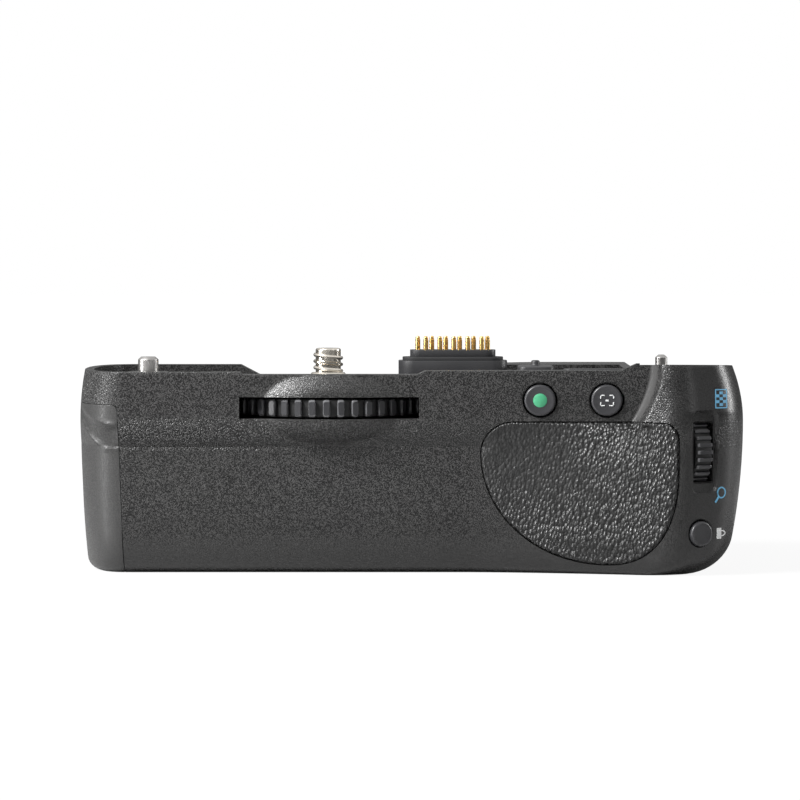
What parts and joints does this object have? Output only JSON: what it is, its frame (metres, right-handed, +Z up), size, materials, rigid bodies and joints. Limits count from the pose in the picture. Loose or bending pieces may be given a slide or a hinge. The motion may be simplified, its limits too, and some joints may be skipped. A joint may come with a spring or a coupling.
{
  "type": "camera battery grip",
  "caption": "Battery grip that screws under a camera, with fastening wheel, sprung contacts, sliding battery tray with lock, dials, push buttons, leathered thumb rest and hand grip.",
  "frame": {"origin": "centre of the tripod socket mouth in the base, on the axis it shares with the camera screw", "axes": "+X to the right seen from the back, along the length; +Y to the front of the camera; +Z up, out of the screw"},
  "size_m": [0.1309, 0.0679, 0.0459],
  "materials": {
    "casing": "fine pebbled",
    "dark_plastic": "satin",
    "rubber": "leather grain",
    "steel": "satin",
    "nickel": "turned",
    "gold": "bright",
    "board": "solder mask",
    "ribbon": "polyimide",
    "pack": "satin",
    "switch": "satin"
  },
  "bodies": {
    "casing": {"rear_cover": "casing", "front_cover": "casing", "base_plate": "dark_plastic", "top_plate": "dark_plastic", "battery_chamber": "dark_plastic", "chamber_contacts": "gold", "thumb_pad": "rubber", "grip_pad": "rubber", "left_pin": "steel", "right_pin": "steel", "tripod_socket": "steel", "wheel_bearing": "steel", "screw_bush": "steel", "contact_base": "dark_plastic", "contact_seal": "rubber", "contact_block": "dark_plastic", "stored_cap": "rubber", "button_board": "board", "button_switches": "switch", "lock_switch": "switch", "shutter_switch": "switch", "circuit_board": "board", "board_parts": "dark_plastic", "flex_cable": "ribbon"},
    "fastener": {"thumbwheel": "dark_plastic", "camera_screw": "nickel"},
    "contacts": {"contact_pins": "gold"},
    "tray": {"tray_frame": "dark_plastic", "tray_cap": "casing", "battery_pack": "pack", "pack_terminals": "gold"},
    "tray_lock": {"lock_knob": "dark_plastic", "lock_shaft": "steel", "lock_tongue": "steel", "lever_pin": "steel"},
    "tray_lever": {"lock_lever": "dark_plastic"},
    "green_key": {"green_button": "dark_plastic"},
    "focus_key": {"focus_button": "dark_plastic"},
    "lock_key": {"lock_button": "dark_plastic"},
    "rear_wheel": {"rear_dial": "dark_plastic", "rear_dial_shaft": "steel"},
    "front_wheel": {"front_dial": "dark_plastic", "front_dial_shaft": "steel"},
    "shutter_key": {"shutter_button": "nickel"},
    "power_switch": {"power_ring": "dark_plastic"}
  },
  "joints": [
    {"name": "wheel_turn", "type": "hinge", "parent": "casing", "child": "fastener", "pos_m": [0, 0, 0.0325], "axis": [0, 0, 1], "continuous": true},
    {"name": "contacts_press", "type": "slide", "parent": "casing", "child": "contacts", "axis": [0, 0, -1], "range_m": [0, 0.0008], "stiffness_N_per_m": 1500},
    {"name": "tray_slide", "type": "slide", "parent": "casing", "child": "tray", "axis": [-1, 0, 0], "range_m": [0, 0.068]},
    {"name": "lock_turn", "type": "hinge", "parent": "tray", "child": "tray_lock", "pos_m": [-0.046, 0.0095, 0.0171], "axis": [-1, 0, 0], "range_deg": [0, 90]},
    {"name": "lever_fold", "type": "hinge", "parent": "tray_lock", "child": "tray_lever", "pos_m": [-0.04695, 0.0095, 0.0106], "axis": [0, -1, 0], "range_deg": [0, 88]},
    {"name": "green_press", "type": "slide", "parent": "casing", "child": "green_key", "axis": [0, 1, 0], "range_m": [0, 0.0006], "stiffness_N_per_m": 900},
    {"name": "focus_press", "type": "slide", "parent": "casing", "child": "focus_key", "axis": [0, 1, 0], "range_m": [0, 0.0006], "stiffness_N_per_m": 900},
    {"name": "lock_press", "type": "slide", "parent": "casing", "child": "lock_key", "axis": [-0.515, 0.8572, 0], "range_m": [0, 0.0006], "stiffness_N_per_m": 900},
    {"name": "rear_dial_turn", "type": "hinge", "parent": "casing", "child": "rear_wheel", "pos_m": [0.06913, -0.01268, 0.024], "axis": [0.8572, 0.515, 0], "continuous": true},
    {"name": "front_dial_turn", "type": "hinge", "parent": "casing", "child": "front_wheel", "pos_m": [0.058, 0.0372, 0.024], "axis": [1, 0, 0], "continuous": true},
    {"name": "shutter_press", "type": "slide", "parent": "casing", "child": "shutter_key", "axis": [-0.766, -0.6428, 0], "range_m": [0, 0.001], "stiffness_N_per_m": 900},
    {"name": "power_turn", "type": "hinge", "parent": "casing", "child": "power_switch", "pos_m": [0.07543, 0.03695, 0.024], "axis": [0.766, 0.6428, 0], "range_deg": [0, 30]}
  ]
}
